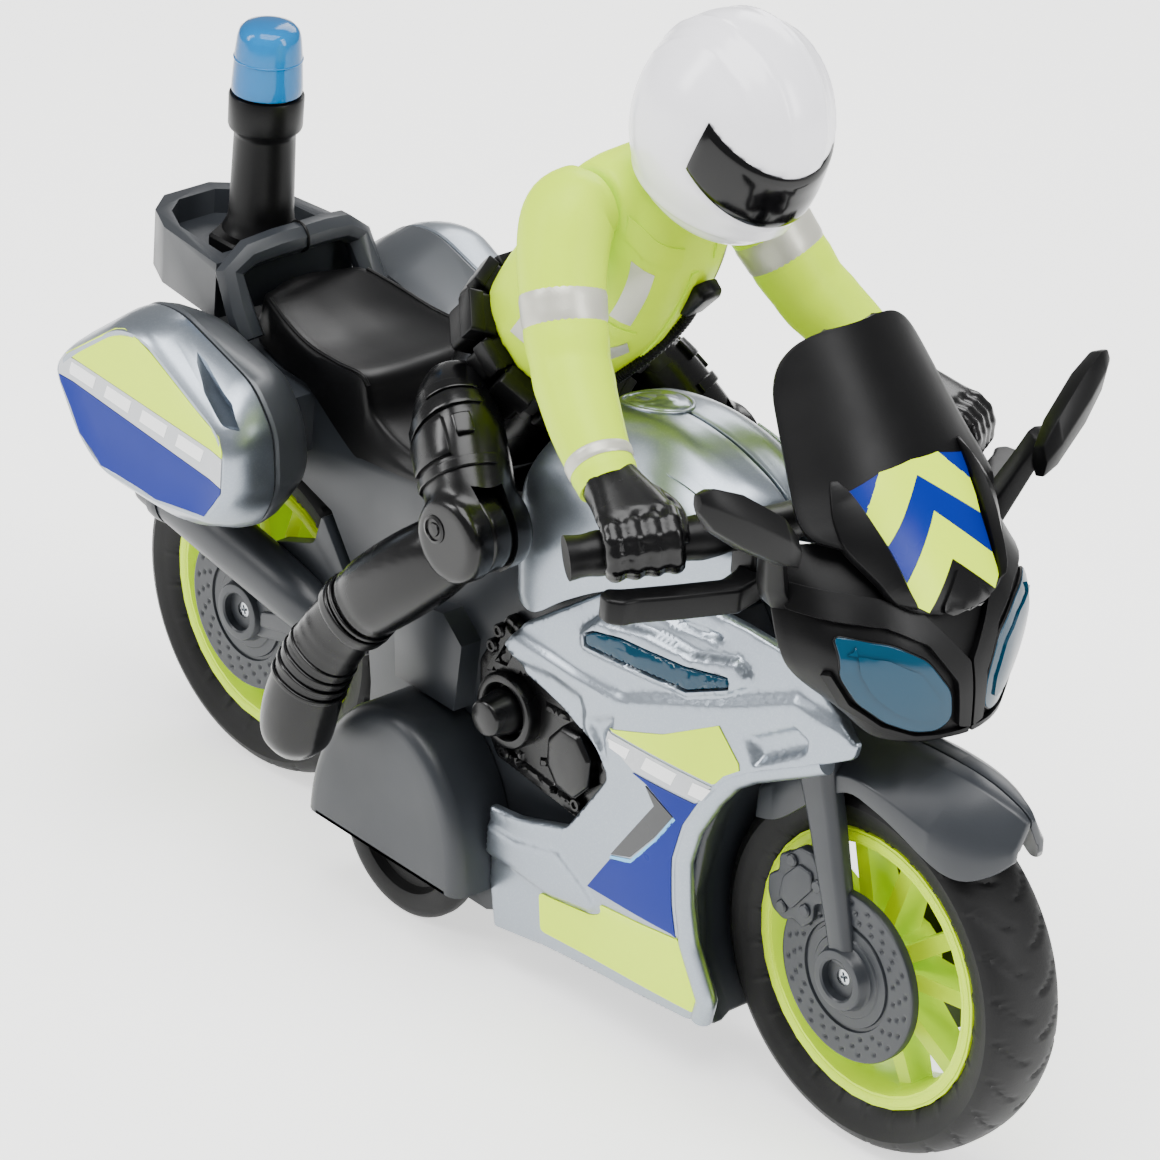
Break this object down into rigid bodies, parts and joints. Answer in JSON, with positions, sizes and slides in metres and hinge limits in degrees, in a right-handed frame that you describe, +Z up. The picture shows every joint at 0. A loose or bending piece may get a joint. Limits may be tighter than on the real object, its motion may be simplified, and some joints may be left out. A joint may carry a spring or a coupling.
{
  "type": "toy police motorcycle",
  "caption": "friction-drive toy patrol motorcycle with panniers, beacon and side lenses, ridden by a jointed helmeted rider whose gloves hook over the grips",
  "frame": {"origin": "centre of the footprint, on the ground", "axes": "+X forward, +Y to the motorcycle's left, +Z up"},
  "size_m": [0.2584, 0.1078, 0.2116],
  "materials": {
    "black_satin": "moulded black plastic, satin",
    "black_gloss": "moulded black plastic, glossy",
    "dark_grey": "moulded dark grey plastic with a slight sheen",
    "silver_paint": "silver metallic-look moulded plastic",
    "hi_vis": "high-visibility yellow plastic",
    "white_gloss": "glossy white plastic",
    "blue_clear": "clear blue plastic",
    "rubber": "soft black tyre compound",
    "zinc": "bright plated steel",
    "brass": "turned brass",
    "green_board": "green printed circuit board"
  },
  "bodies": {
    "body": {"battery_door": "dark_grey", "beacon_lens": "blue_clear", "beacon_mast": "black_satin", "button_cell_stack": "zinc", "circuit_board": "green_board", "drive_cover_left": "dark_grey", "drive_cover_right": "dark_grey", "engine_left": "black_gloss", "engine_right": "black_gloss", "fork_left": "dark_grey", "fork_right": "dark_grey", "frame_left": "dark_grey", "frame_right": "dark_grey", "front_axle": "zinc", "gearbox_housing": "dark_grey", "handlebar": "black_satin", "headlight_left": "blue_clear", "headlight_right": "blue_clear", "inner_fairing": "dark_grey", "mirror_left": "black_satin", "mirror_right": "black_satin", "nose_fairing": "black_satin", "pannier_back_left": "dark_grey", "pannier_back_right": "dark_grey", "pannier_shell_left": "silver_paint", "pannier_shell_right": "silver_paint", "rear_axle": "zinc", "rider_pelvis": "black_gloss", "rider_torso": "hi_vis", "seat": "black_satin", "side_fairing_left": "silver_paint", "side_fairing_right": "silver_paint", "side_lens_left": "blue_clear", "side_lens_right": "blue_clear", "speaker": "black_satin", "swingarm_left": "dark_grey", "swingarm_right": "dark_grey", "tail_rack": "dark_grey", "tank_left": "silver_paint", "tank_right": "silver_paint", "windscreen": "black_satin"},
    "front_wheel": {"front_tyre": "rubber", "front_rim": "hi_vis"},
    "rear_wheel": {"rear_tyre": "rubber", "rear_rim": "hi_vis"},
    "drive": {"drive_axle": "zinc", "drive_wheel_left": "rubber", "drive_wheel_right": "rubber"},
    "flywheel": {"flywheel": "brass"},
    "sound_button": {"sound_button": "black_gloss"},
    "rider_head": {"rider_helmet": "white_gloss", "rider_visor": "black_gloss"},
    "arm_right": {"rider_arm_right": "hi_vis", "rider_hand_right": "black_satin"},
    "thigh_right": {"rider_thigh_right": "black_gloss"},
    "shin_right": {"rider_shin_right": "black_gloss"},
    "arm_left": {"rider_arm_left": "hi_vis", "rider_hand_left": "black_satin"},
    "thigh_left": {"rider_thigh_left": "black_gloss"},
    "shin_left": {"rider_shin_left": "black_gloss"}
  },
  "joints": [
    {"name": "front_wheel_spin", "type": "hinge", "parent": "body", "child": "front_wheel", "pos_m": [0.09065, 0, 0.0385], "axis": [0, 1, 0], "continuous": true},
    {"name": "rear_wheel_spin", "type": "hinge", "parent": "body", "child": "rear_wheel", "pos_m": [-0.08955, 0, 0.0385], "axis": [0, 1, 0], "continuous": true},
    {"name": "drive_spin", "type": "hinge", "parent": "body", "child": "drive", "pos_m": [-0.02515, 0, 0.0192], "axis": [0, 1, 0], "continuous": true},
    {"name": "flywheel_spin", "type": "hinge", "parent": "body", "child": "flywheel", "pos_m": [-0.02195, 0, 0.0312], "axis": [0, 1, 0], "continuous": true},
    {"name": "sound_button_press", "type": "slide", "parent": "body", "child": "sound_button", "axis": [0, 1, 0], "range_m": [0, 0.0015], "stiffness_N_per_m": 400},
    {"name": "neck_swivel", "type": "hinge", "parent": "body", "child": "rider_head", "pos_m": [0.01645, 0, 0.174], "axis": [0.6018, 0, 0.7986], "range_deg": [-30, 30]},
    {"name": "shoulder_right", "type": "hinge", "parent": "body", "child": "arm_right", "pos_m": [0.00795, -0.0144, 0.1693], "axis": [0, -1, 0], "range_deg": [0, 24]},
    {"name": "hip_right", "type": "hinge", "parent": "body", "child": "thigh_right", "pos_m": [-0.02055, -0.0154, 0.1145], "axis": [0, -1, 0], "range_deg": [-8, 8]},
    {"name": "knee_right", "type": "hinge", "parent": "thigh_right", "child": "shin_right", "pos_m": [-0.00055, -0.031, 0.1005], "axis": [0, -1, 0], "range_deg": [-14, 15]},
    {"name": "shoulder_left", "type": "hinge", "parent": "body", "child": "arm_left", "pos_m": [0.00795, 0.0144, 0.1693], "axis": [0, -1, 0], "range_deg": [0, 24]},
    {"name": "hip_left", "type": "hinge", "parent": "body", "child": "thigh_left", "pos_m": [-0.02055, 0.0154, 0.1145], "axis": [0, -1, 0], "range_deg": [-8, 8]},
    {"name": "knee_left", "type": "hinge", "parent": "thigh_left", "child": "shin_left", "pos_m": [-0.00055, 0.031, 0.1005], "axis": [0, -1, 0], "range_deg": [-14, 15]}
  ],
  "couplings": [
    {"joint": "flywheel_spin", "follows": "drive_spin", "ratio": -2}
  ]
}
